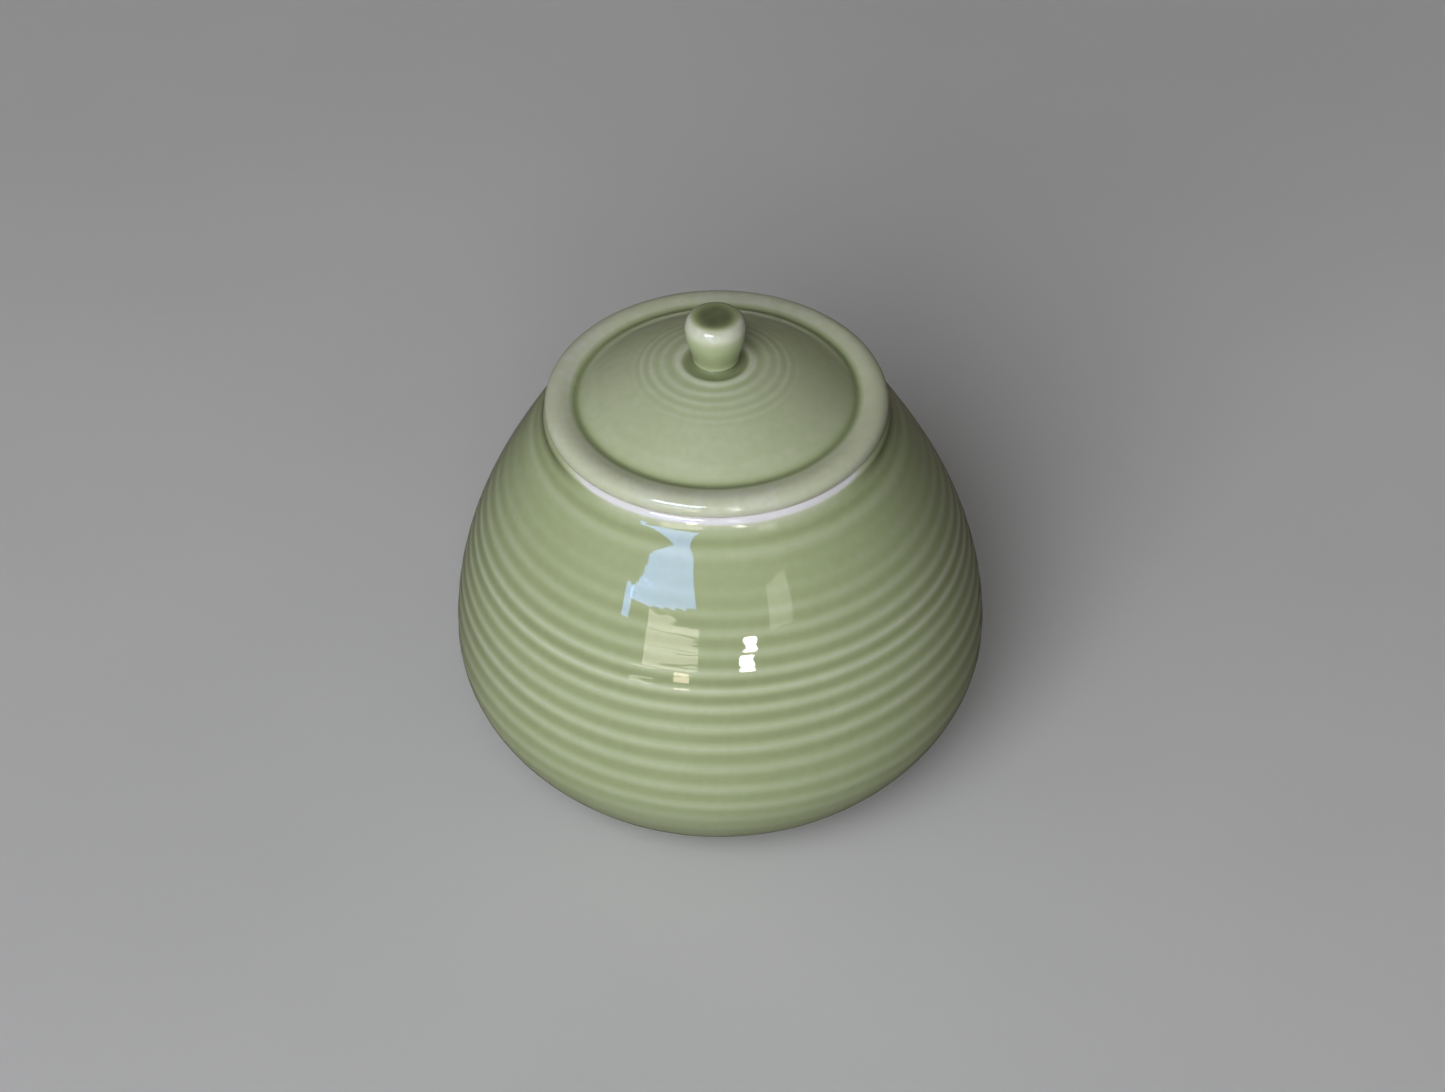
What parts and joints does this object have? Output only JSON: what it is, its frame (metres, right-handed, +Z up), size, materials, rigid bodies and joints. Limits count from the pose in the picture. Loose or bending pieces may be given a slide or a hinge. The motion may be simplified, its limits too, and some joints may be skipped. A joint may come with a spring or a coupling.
{
  "type": "lidded rice bowl",
  "caption": "Wheel-thrown lidded porcelain bowl with a low round belly, throwing rings, a flanged cap lid with a luted knob, and celadon glaze.",
  "frame": {"origin": "centre of the foot ring, on the table", "axes": "+Z up along the axis of the bowl, lid and knob; X and Y are alike because the object is round"},
  "size_m": [0.1282, 0.1282, 0.1267],
  "materials": {
    "bowl_glaze": "glossy celadon glaze, deeper green in the hollows of the throwing rings, paler on their crests, bare clay under the foot ring and on the lid seat",
    "lid_glaze": "glossy celadon glaze, pale on the rolled edge, olive where it pools in the groove, bare clay on the seat and flange",
    "knob_glaze": "glossy celadon glaze, pale on the shoulder, dark green where it pools in the dished top"
  },
  "bodies": {
    "bowl": {"bowl": "bowl_glaze"},
    "lid": {"lid": "lid_glaze", "knob": "knob_glaze"}
  },
  "joints": [
    {"name": "lid_lift", "type": "slide", "parent": "bowl", "child": "lid", "axis": [0, 0, 1], "range_m": [0, 0.06]}
  ]
}
